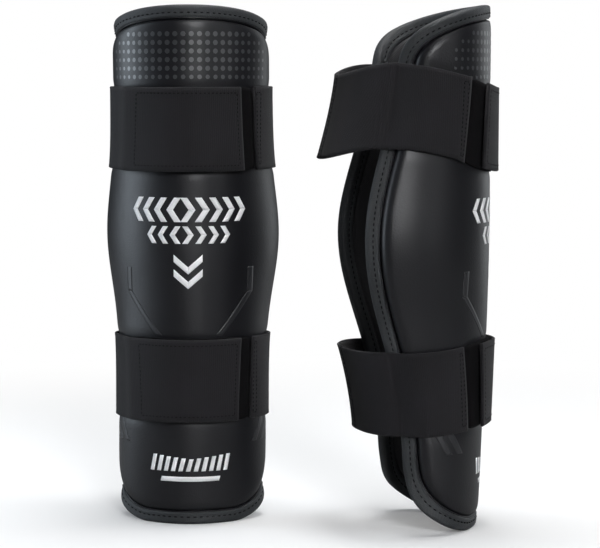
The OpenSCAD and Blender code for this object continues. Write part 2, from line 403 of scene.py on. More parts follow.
def slab(name: str, inner: Array, outer: Array, uv: Array) -> bpy.types.Object:
    """Closed solid between two grids with the same rows and columns.

    Args:
        name: Name of the piece.
        inner: Grid of inner points, rows by columns by 3, in metres.
        outer: Grid of outer points.
        uv: Grid of UV pairs in metres.

    Returns:
        The object, with its faces outwards.
    """
    rows, cols = inner.shape[:2]
    index = np.arange(rows * cols).reshape(rows, cols)
    a, b, c, d = index[:-1, :-1], index[1:, :-1], index[1:, 1:], index[:-1, 1:]
    shift = rows * cols
    hi = np.stack([a, b, c, d], axis=-1).reshape(-1, 4) + shift
    lo = np.stack([a, d, c, b], axis=-1).reshape(-1, 4)
    rim = np.concatenate([index[0, :], index[1:, -1], index[-1, -2::-1], index[-2:0:-1, 0]])
    rim_next = np.roll(rim, -1)
    walls = np.stack([rim + shift, rim_next + shift, rim_next, rim], axis=-1)
    faces = np.concatenate([hi, lo, walls])
    points = np.concatenate([inner.reshape(-1, 3), outer.reshape(-1, 3)])
    obj = make_object(name, points, faces, np.concatenate([uv.reshape(-1, 2)] * 2))
    point_outwards(obj)
    return obj


def sweep(name: str, rings: Array, uv: Array, closed: bool) -> bpy.types.Object:
    """Tube through rings of points.

    Args:
        name: Name of the piece.
        rings: Rings by points by 3, in metres; each ring is a closed loop.
        uv: Rings by points by 2, in metres.
        closed: Whether the last ring joins the first; otherwise the ends are capped.

    Returns:
        The object, with its faces outwards.
    """
    count, size = rings.shape[:2]
    index = np.arange(count * size).reshape(count, size)
    here = index if closed else index[:-1]
    nxt = np.roll(index, -1, axis=0) if closed else index[1:]
    faces = np.stack([here, np.roll(here, -1, axis=1), np.roll(nxt, -1, axis=1), nxt], axis=-1).reshape(-1, 4)
    polygons: list[Sequence[int]] = [tuple(f) for f in faces]
    if not closed:
        polygons.append(tuple(index[0][::-1]))
        polygons.append(tuple(index[-1]))
    obj = make_object(name, rings, polygons, uv)
    point_outwards(obj)
    return obj


def joined(name: str, parts: Sequence[bpy.types.Object]) -> bpy.types.Object:
    """One object of several, under a new name."""
    with bpy.context.temp_override(active_object=parts[0], selected_editable_objects=list(parts),
                                   selected_objects=list(parts)):
        bpy.ops.object.join()
    parts[0].name = name
    parts[0].data.name = name
    return parts[0]


def directions(points: Array) -> Array:
    """Unit tangent at each point of an open or closed path given as rows."""
    step = np.gradient(points, axis=0)
    return step / np.maximum(np.linalg.norm(step, axis=-1, keepdims=True), 1e-12)


# ---------------------------------------------------------------- node trees


def socket(group: bpy.types.NodeTree, name: str, kind: str, default: object = None,
           output: bool = False) -> None:
    """Adds a named socket to a node group's interface."""
    item = group.interface.new_socket(name=name, in_out="OUTPUT" if output else "INPUT", socket_type=kind)
    if default is not None:
        item.default_value = default


class ShaderKit:
    """Shader node groups that several finishes share, each built once."""

    def __init__(self) -> None:
        """Builds the groups."""
        self.grain = self._grain()
        self.weave = self._weave()
        self.tone = self._tone()

    @staticmethod
    def _group(name: str) -> tuple[bpy.types.NodeTree, bpy.types.Node, bpy.types.Node]:
        """Empty shader group with its input and output nodes."""
        group = bpy.data.node_groups.new(name, "ShaderNodeTree")
        return group, group.nodes.new("NodeGroupInput"), group.nodes.new("NodeGroupOutput")

    def _grain(self) -> bpy.types.NodeTree:
        """Fine leather grain: pebbles with soft creases between them, over slow waves."""
        group, inp, out = self._group("leather_grain")
        socket(group, "Vector", "NodeSocketVector")
        socket(group, "Pebbles", "NodeSocketFloat", 900.0)
        socket(group, "Waves", "NodeSocketFloat", 40.0)
        socket(group, "Height", "NodeSocketFloat", output=True)
        socket(group, "Creases", "NodeSocketFloat", output=True)
        nodes, link = group.nodes, group.links.new
        cells = nodes.new("ShaderNodeTexVoronoi")
        cells.feature = "SMOOTH_F1"
        fine = nodes.new("ShaderNodeTexNoise")
        fine.inputs["Detail"].default_value = 4.0
        slow = nodes.new("ShaderNodeTexNoise")
        slow.inputs["Detail"].default_value = 2.0
        doubled = nodes.new("ShaderNodeMath")
        doubled.operation = "MULTIPLY"
        doubled.inputs[1].default_value = 2.3
        add = nodes.new("ShaderNodeMath")
        add.operation = "MULTIPLY_ADD"
        add.inputs[1].default_value = 0.5
        total = nodes.new("ShaderNodeMath")
        total.operation = "MULTIPLY_ADD"
        total.inputs[1].default_value = 1.4
        for node in (cells, fine, slow):
            link(inp.outputs["Vector"], node.inputs["Vector"])
        link(inp.outputs["Pebbles"], cells.inputs["Scale"])
        link(inp.outputs["Pebbles"], doubled.inputs[0])
        link(doubled.outputs[0], fine.inputs["Scale"])
        link(inp.outputs["Waves"], slow.inputs["Scale"])
        link(fine.outputs["Fac"], add.inputs[0])
        link(cells.outputs["Distance"], add.inputs[2])
        link(slow.outputs["Fac"], total.inputs[0])
        link(add.outputs[0], total.inputs[2])
        link(total.outputs[0], out.inputs["Height"])
        link(cells.outputs["Distance"], out.inputs["Creases"])
        return group

    def _weave(self) -> bpy.types.NodeTree:
        """Woven or ribbed cloth on a UV map: warp and weft waves that pass over each other. Its Shade output is
        painted shade in the weave's hollows and a painted highlight on its raised threads, over random fibre tone.
        """
        group, inp, out = self._group("cloth_weave")
        socket(group, "Vector", "NodeSocketVector")
        socket(group, "Along", "NodeSocketFloat", 900.0)
        socket(group, "Across", "NodeSocketFloat", 1500.0)
        socket(group, "Rib", "NodeSocketFloat", 0.5)
        socket(group, "Height", "NodeSocketFloat", output=True)
        socket(group, "Shade", "NodeSocketFloat", output=True)
        nodes, link = group.nodes, group.links.new

        def math_node(operation: str, *values: float | None) -> bpy.types.Node:
            """Math node with constants where given."""
            node = nodes.new("ShaderNodeMath")
            node.operation = operation
            for i, value in enumerate(values):
                if value is not None:
                    node.inputs[i].default_value = value
            return node

        split = nodes.new("ShaderNodeSeparateXYZ")
        link(inp.outputs["Vector"], split.inputs[0])
        wobble = nodes.new("ShaderNodeTexNoise")
        wobble.inputs["Scale"].default_value = 220.0
        link(inp.outputs["Vector"], wobble.inputs["Vector"])
        waves = []
        for axis, name in (("X", "Along"), ("Y", "Across")):
            scaled = math_node("MULTIPLY")
            link(split.outputs[axis], scaled.inputs[0])
            link(inp.outputs[name], scaled.inputs[1])
            shaken = math_node("MULTIPLY_ADD", None, 0.9)
            link(wobble.outputs["Fac"], shaken.inputs[0])
            link(scaled.outputs[0], shaken.inputs[2])
            wave = math_node("SINE")
            link(shaken.outputs[0], wave.inputs[0])
            waves.append(wave)
        product = math_node("MULTIPLY")
        link(waves[0].outputs[0], product.inputs[0])
        link(waves[1].outputs[0], product.inputs[1])
        rib = math_node("MULTIPLY_ADD")
        link(waves[0].outputs[0], rib.inputs[0])
        link(inp.outputs["Rib"], rib.inputs[1])
        link(product.outputs[0], rib.inputs[2])
        fuzz = nodes.new("ShaderNodeTexNoise")
        fuzz.inputs["Scale"].default_value = 2600.0
        fuzz.inputs["Detail"].default_value = 3.0
        link(inp.outputs["Vector"], fuzz.inputs["Vector"])
        height = math_node("MULTIPLY_ADD", None, 1.1)
        link(fuzz.outputs["Fac"], height.inputs[0])
        link(rib.outputs[0], height.inputs[2])
        # Shade: colour from the height, so painted shade in the weave's hollows and a painted highlight on its ribs;
        # the fuzz adds random fibre tone
        shade = math_node("MULTIPLY_ADD", None, 0.22, 0.55)
        link(height.outputs[0], shade.inputs[0])
        shade.use_clamp = True
        link(height.outputs[0], out.inputs["Height"])
        link(shade.outputs[0], out.inputs["Shade"])
        return group

    def _tone(self) -> bpy.types.NodeTree:
        """Slow mottling and small scuffs, from 0 to 1."""
        group, inp, out = self._group("surface_tone")
        socket(group, "Vector", "NodeSocketVector")
        socket(group, "Patches", "NodeSocketFloat", 14.0)
        socket(group, "Scuffs", "NodeSocketFloat", 160.0)
        socket(group, "Tone", "NodeSocketFloat", output=True)
        socket(group, "Scuff", "NodeSocketFloat", output=True)
        nodes, link = group.nodes, group.links.new
        patches = nodes.new("ShaderNodeTexNoise")
        patches.inputs["Detail"].default_value = 3.0
        scuffs = nodes.new("ShaderNodeTexNoise")
        scuffs.inputs["Detail"].default_value = 6.0
        scuffs.inputs["Distortion"].default_value = 0.6
        ramp = nodes.new("ShaderNodeValToRGB")
        ramp.color_ramp.elements[0].position = 0.56
        ramp.color_ramp.elements[1].position = 0.74
        for node, name in ((patches, "Patches"), (scuffs, "Scuffs")):
            link(inp.outputs["Vector"], node.inputs["Vector"])
            link(inp.outputs[name], node.inputs["Scale"])
        link(scuffs.outputs["Fac"], ramp.inputs[0])
        link(patches.outputs["Fac"], out.inputs["Tone"])
        link(ramp.outputs["Color"], out.inputs["Scuff"])
        return group


@dataclass(frozen=True)
class Surface:
    """Base of every finish: two colours, a roughness range and a bump."""

    name: str
    dark: tuple[float, float, float]
    light: tuple[float, float, float]
    rough_low: float
    rough_high: float
    bump_mm: float
    specular: float = 0.5
    sheen: float = 0.0
    coat: float = 0.0
    coat_rough: float = 0.3

    def start(self) -> tuple[bpy.types.Material, bpy.types.NodeTree, bpy.types.Node]:
        """Material with a Principled shader that has this finish's constant values."""
        material = bpy.data.materials.new(self.name)
        material.use_nodes = True
        tree = material.node_tree
        shader = tree.nodes["Principled BSDF"]
        shader.inputs["Specular IOR Level"].default_value = self.specular
        shader.inputs["Sheen Weight"].default_value = self.sheen
        shader.inputs["Sheen Roughness"].default_value = 0.45
        shader.inputs["Coat Weight"].default_value = self.coat
        shader.inputs["Coat Roughness"].default_value = self.coat_rough
        return material, tree, shader

    def wire(self, tree: bpy.types.NodeTree, shader: bpy.types.Node, shade: bpy.types.NodeSocket,
             rough: bpy.types.NodeSocket, height: bpy.types.NodeSocket) -> None:
        """Joins masks to the shader.

        Args:
            tree: The material's nodes.
            shader: Its Principled shader.
            shade: Mask from the dark colour to the light one: random tone, and for cloth also painted shade in the
                weave's hollows and a painted highlight on its raised threads.
            rough: Mask from the low roughness to the high one.
            height: Height for the bump.
        """
        colour = tree.nodes.new("ShaderNodeMix")
        colour.data_type = "RGBA"
        colour.inputs["A"].default_value = (*self.dark, 1.0)
        colour.inputs["B"].default_value = (*self.light, 1.0)
        tree.links.new(shade, colour.inputs["Factor"])
        tree.links.new(colour.outputs["Result"], shader.inputs["Base Color"])
        span = tree.nodes.new("ShaderNodeMapRange")
        span.inputs["To Min"].default_value = self.rough_low
        span.inputs["To Max"].default_value = self.rough_high
        tree.links.new(rough, span.inputs["Value"])
        tree.links.new(span.outputs["Result"], shader.inputs["Roughness"])
        bump = tree.nodes.new("ShaderNodeBump")
        bump.inputs["Strength"].default_value = 1.0
        bump.inputs["Distance"].default_value = self.bump_mm * MM
        tree.links.new(height, bump.inputs["Height"])
        tree.links.new(bump.outputs["Normal"], shader.inputs["Normal"])


@dataclass(frozen=True)
class Leather(Surface):
    """Synthetic leather: grain, slow mottling and a few scuffs."""

    pebbles: float = 850.0
    waves: float = 26.0

    def build(self, kit: ShaderKit) -> bpy.types.Material:
        """Makes the material."""
        material, tree, shader = self.start()
        where = tree.nodes.new("ShaderNodeTexCoord").outputs["Object"]
        grain = tree.nodes.new("ShaderNodeGroup")
        grain.node_tree = kit.grain
        grain.inputs["Pebbles"].default_value = self.pebbles
        grain.inputs["Waves"].default_value = self.waves
        tone = tree.nodes.new("ShaderNodeGroup")
        tone.node_tree = kit.tone
        for node in (grain, tone):
            tree.links.new(where, node.inputs["Vector"])
        worn = tree.nodes.new("ShaderNodeMath")
        worn.operation = "MULTIPLY_ADD"
        worn.inputs[1].default_value = 0.35
        worn.use_clamp = True
        tree.links.new(tone.outputs["Scuff"], worn.inputs[0])
        tree.links.new(tone.outputs["Tone"], worn.inputs[2])
        self.wire(tree, shader, tone.outputs["Tone"], worn.outputs[0], grain.outputs["Height"])
        return material


@dataclass(frozen=True)
class Cloth(Surface):
    """Woven, knitted or ribbed cloth on the piece's own UV map."""

    along: float = 5200.0
    across: float = 7800.0
    rib: float = 0.5

    def build(self, kit: ShaderKit) -> bpy.types.Material:
        """Makes the material."""
        material, tree, shader = self.start()
        where = tree.nodes.new("ShaderNodeUVMap")
        where.uv_map = UV_LAYER
        weave = tree.nodes.new("ShaderNodeGroup")
        weave.node_tree = kit.weave
        weave.inputs["Along"].default_value = self.along
        weave.inputs["Across"].default_value = self.across
        weave.inputs["Rib"].default_value = self.rib
        tone = tree.nodes.new("ShaderNodeGroup")
        tone.node_tree = kit.tone
        tone.inputs["Patches"].default_value = 30.0
        for node in (weave, tone):
            tree.links.new(where.outputs["UV"], node.inputs["Vector"])
        # Colour: the weave's painted shade and highlight, times random patches of tone
        shade = tree.nodes.new("ShaderNodeMath")
        shade.operation = "MULTIPLY"
        tree.links.new(weave.outputs["Shade"], shade.inputs[0])
        tree.links.new(tone.outputs["Tone"], shade.inputs[1])
        self.wire(tree, shader, shade.outputs[0], tone.outputs["Tone"], weave.outputs["Height"])
        return material


@dataclass(frozen=True)
class Pile(Surface):
    """Foam, fleece, thread, hooks or ink: a plain body with a fine random grain."""

    grain: float = 1500.0

    def build(self, kit: ShaderKit) -> bpy.types.Material:
        """Makes the material."""
        material, tree, shader = self.start()
        where = tree.nodes.new("ShaderNodeTexCoord").outputs["Object"]
        fine = tree.nodes.new("ShaderNodeTexNoise")
        fine.inputs["Scale"].default_value = self.grain
        fine.inputs["Detail"].default_value = 3.0
        tone = tree.nodes.new("ShaderNodeGroup")
        tone.node_tree = kit.tone
        tone.inputs["Patches"].default_value = 45.0
        for node in (fine, tone):
            tree.links.new(where, node.inputs["Vector"])
        self.wire(tree, shader, fine.outputs["Fac"], tone.outputs["Tone"], fine.outputs["Fac"])
        return material


class Finishes:
    """Every material of the pair."""

    def __init__(self, kit: ShaderKit) -> None:
        """Builds the materials from the shared groups."""
        self.cover = Leather("cover_leather", (0.0035, 0.0035, 0.0048), (0.0075, 0.0075, 0.0095),
                             0.37, 0.49, 0.07,
                             specular=0.42).build(kit)
        self.stripe = Leather("tonal_stripe", (0.011, 0.0115, 0.0135), (0.016, 0.0165, 0.019), 0.4, 0.5, 0.05,
                              specular=0.55).build(kit)
        self.dots = Leather("tonal_dots", (0.018, 0.0185, 0.021), (0.028, 0.029, 0.033), 0.34, 0.44, 0.01,
                            specular=1.0).build(kit)
        self.ink = Pile("print_ink", (0.72, 0.72, 0.73), (0.86, 0.86, 0.87), 0.42, 0.55, 0.01,
                        grain=700.0).build(kit)
        self.binding = Cloth("binding_tape", (0.009, 0.0105, 0.012), (0.028, 0.032, 0.036), 0.45, 0.62, 0.08,
                             sheen=0.04, along=5200.0, across=6800.0, rib=0.3).build(kit)
        self.lining = Cloth("lining_fabric", (0.006, 0.006, 0.007), (0.02, 0.02, 0.023), 0.75, 0.95, 0.12,
                            sheen=0.1, along=4200.0, across=4200.0, rib=0.1).build(kit)
        self.elastic = Cloth("strap_elastic", (0.0015, 0.0013, 0.0018), (0.021, 0.0195, 0.0235),
                             0.7, 0.92, 0.11,
                             specular=0.3, sheen=0.05, along=4100.0, across=7600.0, rib=0.3).build(kit)
        self.thread = Pile("stitch_thread", (0.0008, 0.0008, 0.001), (0.0025, 0.0025, 0.003), 0.7, 0.85, 0.03,
                           specular=0.15, grain=4000.0).build(kit)
        self.loop = Pile("loop_fleece", (0.0006, 0.0005, 0.0007), (0.004, 0.0035, 0.0042), 0.9, 1.0, 0.3,
                         specular=0.12, grain=1900.0).build(kit)
        self.hook = Pile("hook_plastic", (0.006, 0.006, 0.0065), (0.012, 0.012, 0.013),
                         0.4, 0.55, 0.03).build(kit)
        self.impact_foam = Pile("impact_foam", (0.34, 0.35, 0.37), (0.48, 0.49, 0.51), 0.85, 0.95, 0.12,
                                grain=1200.0).build(kit)
        self.comfort_foam = Pile("comfort_foam", (0.58, 0.57, 0.52), (0.72, 0.71, 0.66), 0.85, 0.95, 0.15,
                                 grain=900.0).build(kit)


class Mark(Enum):
    """Small shapes that Geometry Nodes repeat."""

    STITCH = "stitch"
    DOT = "dot"
    HOOK = "hook"


class Repeater:
    """Geometry Nodes trees that put one small shape on every point of a mesh.

    The points carry two vector attributes: facing, the surface's outward normal, and along,
    the direction of the shape's length.
    """

    def __init__(self) -> None:
        """Builds one tree for each mark."""
        self.trees = {mark: self._tree(mark) for mark in Mark}

    @staticmethod
    def _shape(nodes: bpy.types.Nodes, mark: Mark) -> bpy.types.NodeSocket:
        """Unit shape of a mark: 1 long, 1 wide and 1 thick, lying on its X and Y."""
        if mark is Mark.DOT:
            node = nodes.new("GeometryNodeMeshCylinder")
            node.inputs["Vertices"].default_value = 14
            node.inputs["Radius"].default_value = 0.5
            node.inputs["Depth"].default_value = 1.0
            return node.outputs["Mesh"]
        if mark is Mark.HOOK:
            node = nodes.new("GeometryNodeMeshCone")
            node.inputs["Vertices"].default_value = 5
            node.inputs["Radius Top"].default_value = 0.5
            node.inputs["Radius Bottom"].default_value = 0.2
            node.inputs["Depth"].default_value = 1.0
            return node.outputs["Mesh"]
        node = nodes.new("GeometryNodeMeshUVSphere")
        node.inputs["Segments"].default_value = 8
        node.inputs["Rings"].default_value = 5
        node.inputs["Radius"].default_value = 0.5
        return node.outputs["Mesh"]

    def _tree(self, mark: Mark) -> bpy.types.NodeTree:
        """Tree with named inputs for the shape's size, its unevenness, the seed and the finish."""
        tree = bpy.data.node_groups.new(f"repeat_{mark.value}", "GeometryNodeTree")
        socket(tree, "Geometry", "NodeSocketGeometry")
        for name in ("Length", "Width", "Thickness"):
            socket(tree, name, "NodeSocketFloat", 0.001)
        socket(tree, "Unevenness", "NodeSocketFloat", 0.0)
        socket(tree, "Seed", "NodeSocketInt", 7)
        socket(tree, "Finish", "NodeSocketMaterial")
        socket(tree, "Geometry", "NodeSocketGeometry", output=True)
        nodes, link = tree.nodes, tree.links.new
        inp, out = nodes.new("NodeGroupInput"), nodes.new("NodeGroupOutput")

        def named(name: str) -> bpy.types.NodeSocket:
            """Vector attribute of the points."""
            node = nodes.new("GeometryNodeInputNamedAttribute")
            node.data_type = "FLOAT_VECTOR"
            node.inputs["Name"].default_value = name
            return node.outputs["Attribute"]

        up = nodes.new("FunctionNodeAlignRotationToVector")
        up.axis = "Z"
        link(named("facing"), up.inputs["Vector"])
        turn = nodes.new("FunctionNodeAlignRotationToVector")
        turn.axis = "X"
        turn.pivot_axis = "Z"
        link(up.outputs["Rotation"], turn.inputs["Rotation"])
        link(named("along"), turn.inputs["Vector"])
        size = nodes.new("ShaderNodeCombineXYZ")
        for axis, name in (("X", "Length"), ("Y", "Width"), ("Z", "Thickness")):
            link(inp.outputs[name], size.inputs[axis])
        spread = nodes.new("FunctionNodeRandomValue")
        spread.data_type = "FLOAT"
        low = nodes.new("ShaderNodeMath")
        low.operation = "SUBTRACT"
        low.inputs[0].default_value = 1.0
        link(inp.outputs["Unevenness"], low.inputs[1])
        link(low.outputs[0], spread.inputs[2])
        spread.inputs[3].default_value = 1.0
        link(inp.outputs["Seed"], spread.inputs["Seed"])
        scale = nodes.new("ShaderNodeVectorMath")
        scale.operation = "SCALE"
        link(size.outputs[0], scale.inputs[0])
        link(spread.outputs[1], scale.inputs["Scale"])
        place = nodes.new("GeometryNodeInstanceOnPoints")
        link(inp.outputs["Geometry"], place.inputs["Points"])
        link(self._shape(nodes, mark), place.inputs["Instance"])
        link(turn.outputs["Rotation"], place.inputs["Rotation"])
        link(scale.outputs[0], place.inputs["Scale"])
        real = nodes.new("GeometryNodeRealizeInstances")
        smooth = nodes.new("GeometryNodeSetShadeSmooth")
        dress = nodes.new("GeometryNodeSetMaterial")
        link(place.outputs[0], real.inputs[0])
        smooth.inputs["Shade Smooth"].default_value = mark is not Mark.DOT
        link(real.outputs[0], smooth.inputs[0])
        link(smooth.outputs[0], dress.inputs["Geometry"])
        link(inp.outputs["Finish"], dress.inputs["Material"])
        link(dress.outputs[0], out.inputs[0])
        return tree

    def repeat(self, name: str, mark: Mark, points: Array, facing: Array, along: Array,
               size: tuple[float, float, float], finish: bpy.types.Material,
               unevenness: float = 0.12, seed: int = 7) -> bpy.types.Object:
        """Puts a mark on every point and bakes the result to a plain mesh.

        Args:
            name: Name of the piece.
            mark: The shape.
            points: Places in metres.
            facing: Outward normals.
            along: Directions of the shapes' length.
            size: Length, width and thickness in millimetres.
            finish: Material of the shapes.
            unevenness: Share by which a shape may be smaller.
            seed: Seed of that.

        Returns:
            The baked object.
        """
        base = make_object(f"{name}_points", points, [])
        for key, values in (("facing", facing), ("along", along)):
            attribute = base.data.attributes.new(key, "FLOAT_VECTOR", "POINT")
            attribute.data.foreach_set("vector", np.asarray(values, np.float32).ravel())
        modifier = base.modifiers.new("repeat", "NODES")
        tree = self.trees[mark]
        values = {"Length": size[0] * MM, "Width": size[1] * MM, "Thickness": size[2] * MM,
                  "Unevenness": unevenness, "Seed": seed, "Finish": finish}
        modifier.node_group = tree
        for item in tree.interface.items_tree:
            if item.in_out == "INPUT" and item.name in values:
                modifier[item.identifier] = values[item.name]
        graph = bpy.context.evaluated_depsgraph_get()
        mesh = bpy.data.meshes.new_from_object(base.evaluated_get(graph), depsgraph=graph)
        mesh.name = name
        for key in ("facing", "along"):
            if key in mesh.attributes:
                mesh.attributes.remove(mesh.attributes[key])
        bpy.data.objects.remove(base)
        obj = bpy.data.objects.new(name, mesh)
        bpy.context.collection.objects.link(obj)
        return obj


# ---------------------------------------------------------------- the guard


def finish_piece(obj: bpy.types.Object, material: bpy.types.Material | None) -> bpy.types.Object:
    """Gives a piece its material and slot, and logs it."""
    if material is not None:
        obj.data.materials.clear()
        obj.data.materials.append(material)
    LOG.info("%s: %d faces", obj.name, len(obj.data.polygons))
    return obj


@dataclass
class Shell:
    """Cover, foams, lining and bound hem of one guard, with the print on the cover."""

    name: str
    shape: ShellShape
    stance: Stance
    straps: tuple[StrapShape, StrapShape]
    finishes: Finishes
    repeater: Repeater
    cols: int = 112
    rows: int = 150
    cover_t: float = 1.4
    lining_t: float = 1.0
    tape_w: float = 8.0
    tape_t: float = 1.0
    lining_puff: float = 1.3
    dot_margin: float = 22.0
    dot_margin_top: float = 14.0
    groove: float = 1.9
    ridge: float = 0.35
    press: float = 0.9
    ring_steps: int = 9
    stitch_pitch: float = 4.1
    stitch_inset: float = 4.6

    @property
    def body(self) -> str:
        """CAD body that the shell rides on."""
        return f"{self.name}_shell"

    def _rings(self, inner_only: bool = False) -> Array:
        """Distances from the hem of the rings next to it."""
        turn = np.linspace(0, math.pi / 2, self.ring_steps)
        shoulder = self.shape.flange_w + 0.05 + self.shape.shoulder_w * (1 - np.cos(turn))
        if inner_only:
            return shoulder
        flange = np.array([0.0, 3.0, 6.0, 7.9, 8.3, 8.6, 8.9, 9.2, 9.45])
        return np.concatenate([flange, shoulder])

    def _grid(self, rings: Array, cols: int, rows: int) -> tuple[Array, Array, Array]:
        """Fine grid over the shell.

        Args:
            rings: Distances from the hem of the outer rings.
            cols: Cells across.
            rows: Cells up.

        Returns:
            Heights, angles and distances from the hem, each rows by columns.
        """
        i, j = np.meshgrid(np.arange(cols + 1), np.arange(rows + 1))
        ring = np.minimum.reduce([i, cols - i, j, rows - j, np.full_like(i, len(rings) - 1)])
        u = -1 + 2 * (i - ring) / (cols - 2 * ring)
        v = (j - ring) / (rows - 2 * ring)
        s = 0.5 * u + 0.5 * np.sin(u * math.pi / 2)
        inset = rings[ring]
        z, a = self.shape.outline_place(s, v, inset)
        return z, a, inset

    def _uv(self, z: Array, a: Array, t: float) -> Array:
        """UV pairs in metres: length round the section, and height."""
        return np.stack([self.shape.arc(z, a, t), z], axis=-1) * MM

    def pressed(self, z: Array, a: Array) -> Array:
        """How far the straps press the pad in at a point."""
        total = np.zeros_like(z)
        for strap in self.straps:
            off = np.abs(z - strap.middle_z - strap.rise(a)) - strap.width / 2
            total += self.press * (1 - ease((off + 3.0) / 9.0))
        return total

    def cover_height(self, z: Array, a: Array, inset: Array) -> Array:
        """Height of the cover's outer face over the lining."""
        shape = self.shape
        rise = (shape.pad_t - shape.flange_t) * shape.shoulder(inset)
        waves = 0.22 * np.sin(z / 23.0 + 1.3 * np.sin(a * 2.1)) * np.sin(a * 3.7 + z / 61.0)
        dip = self.groove * np.exp(-(((inset - shape.flange_w + 0.25) / 0.45) ** 2))
        dip = dip - self.ridge * np.exp(-(((inset - 8.5) / 0.35) ** 2))
        share = shape.shoulder(inset)
        return shape.flange_t + rise - dip + share * (waves - self.pressed(z, a)) + shape.flare(z, inset)

    def build_cover(self) -> bpy.types.Object:
        """Outer cover: flange, sewn groove, round shoulder and raised panel."""
        z, a, inset = self._grid(self._rings(), self.cols, self.rows)
        outer_t = self.cover_height(z, a, inset)
        place = self.stance.place
        outer = place(self.shape.skin(z, a, outer_t))
        inner = place(self.shape.skin(z, a, outer_t - self.cover_t))
        obj = slab(f"{self.name}_cover_skin", inner, outer, self._uv(z, a, self.shape.pad_t))
        finish_piece(obj, self.finishes.cover)
        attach(obj, self.body)
        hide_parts(f"{self.name}_outer_cover")
        return obj

    def build_foams(self) -> list[bpy.types.Object]:
        """The two foams between the cover and the lining."""
        place = self.stance.place
        z, a, inset = self._grid(self._rings(inner_only=True)[2:], self.cols // 2, self.rows // 2)
        under = self.shape.flange_t - self.cover_t
        top = self.cover_height(z, a, inset) - self.cover_t - 0.15
        flare = self.shape.flare(z, inset)
        impact = slab(f"{self.name}_impact_foam_core", place(self.shape.skin(z, a, under + 0.1 + flare)),
                      place(self.shape.skin(z, a, np.maximum(top, under + 0.4 + flare))),
                      self._uv(z, a, under))
        z, a, inset = self._grid(self._rings()[1:], self.cols, self.rows)
        puff = self.lining_puff * self.shape.shoulder(inset) - self.shape.flare(z, inset)
        comfort = slab(f"{self.name}_comfort_foam_layer",
                       place(self.shape.skin(z, a, self.lining_t + 0.4 - puff)),
                       place(self.shape.skin(z, a, under - 0.75 + self.shape.flare(z, inset))),
                       self._uv(z, a, under))
        for obj, material, key in ((impact, self.finishes.impact_foam, "impact_foam"),
                                   (comfort, self.finishes.comfort_foam, "comfort_foam")):
            finish_piece(obj, material)
            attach(obj, self.body)
            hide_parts(f"{self.name}_{key}")
        return [impact, comfort]

    def build_lining(self) -> bpy.types.Object:
        """Inner lining, slightly puffed towards the leg by the foam."""
        place = self.stance.place
        z, a, inset = self._grid(self._rings(), self.cols, self.rows)
        puff = self.lining_puff * self.shape.shoulder(inset)
        dip = 0.35 * np.exp(-(((inset - self.shape.flange_w) / 1.2) ** 2))
        inner_t = dip - puff + self.shape.flare(z, inset)
        obj = slab(f"{self.name}_lining_cloth", place(self.shape.skin(z, a, inner_t)),
                   place(self.shape.skin(z, a, inner_t + self.lining_t)), self._uv(z, a, 0.0))
        finish_piece(obj, self.finishes.lining)
        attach(obj, self.body)
        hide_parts(f"{self.name}_inner_lining")
        return obj

    def _hem(self, count: int, inset: float, t: float) -> Array:
        """Points evenly spaced along a line round the shell, inset from the hem, in the guard's frame."""
        dense = 400
        u = np.linspace(-1, 1, dense, endpoint=False)
        across = np.sin(u * math.pi / 2)
        up = np.linspace(0, 1, dense, endpoint=False)
        s = np.concatenate([across, np.ones(dense), -across, -np.ones(dense)])
        v = np.concatenate([np.zeros(dense), up, np.ones(dense), 1 - up])
        path = self.shape.outline(s, v, inset, 0.0)
        steps = np.linalg.norm(np.roll(path, -1, axis=0) - path, axis=-1)
        length = np.concatenate([[0.0], np.cumsum(steps)])
        marks = np.linspace(0, length[-1], count, endpoint=False)
        s = np.interp(marks, length, np.append(s, s[0]))
        v = np.interp(marks, length, np.append(v, v[0]))
        return self.shape.outline(s, v, inset, t) if t is not None else np.stack([s, v, marks], axis=-1)

    def _hem_shares(self, count: int) -> Array:
        """Outline shares and running length of evenly spaced hem stations."""
        return self._hem(count, 0.0, None)

    def build_binding(self) -> bpy.types.Object:
        """Tape folded over the hem, with softly rolled edges."""
        shape, w, t, top = self.shape, self.tape_w, self.tape_t, self.shape.flange_t
        profile = np.array([
            (-w, top - 0.05), (-w + 0.1, top + 0.55 * t), (-w + 0.6, top + t),
            (-5.6, top + t), (-4.6, top + 0.78 * t), (-3.6, top + t), (-2, top + t),
            (-0.8, top + 0.95 * t), (0.35, top + 0.45 * t), (0.95, top - 0.9), (1.1, top / 2), (0.95, 0.9),
            (0.35, -0.45 * t), (-0.8, -0.95 * t), (-2, -t), (-3.6, -t), (-4.6, -0.78 * t), (-5.6, -t),
            (-w + 0.6, -t),
            (-w + 0.1, -0.55 * t), (-w, 0.05), (-4, 0.02), (-0.1, 0.05), (-0.1, top - 0.05), (-4, top - 0.02)])
        stations = self._hem_shares(460)
        s, v, run = stations[:, 0], stations[:, 1], stations[:, 2]
        edge = shape.outline(s, v, 0.0, 0.0)
        along = np.roll(edge, -1, axis=0) - np.roll(edge, 1, axis=0)
        along /= np.linalg.norm(along, axis=-1, keepdims=True)
        reach = edge - shape.outline(s, v, 4.0, 0.0)
        out = reach - (reach * along).sum(-1, keepdims=True) * along
        out /= np.linalg.norm(out, axis=-1, keepdims=True)
        pucker = 0.12 * np.sin(run * 2 * math.pi / self.stitch_pitch)
        columns = []
        for e, height in profile:
            lift = np.sign(height - top / 2) * pucker * (0 if e > -2 or abs(height - top / 2) < top / 2 else 1)
            if e < 0:
                columns.append(shape.outline(s, v, -e, height + lift))
            else:
                columns.append(shape.outline(s, v, 0.0, height) + e * out)
        rings = self.stance.place(np.stack(columns, axis=1))
        across = np.concatenate([[0.0], np.cumsum(np.linalg.norm(np.diff(profile, axis=0), axis=-1))])
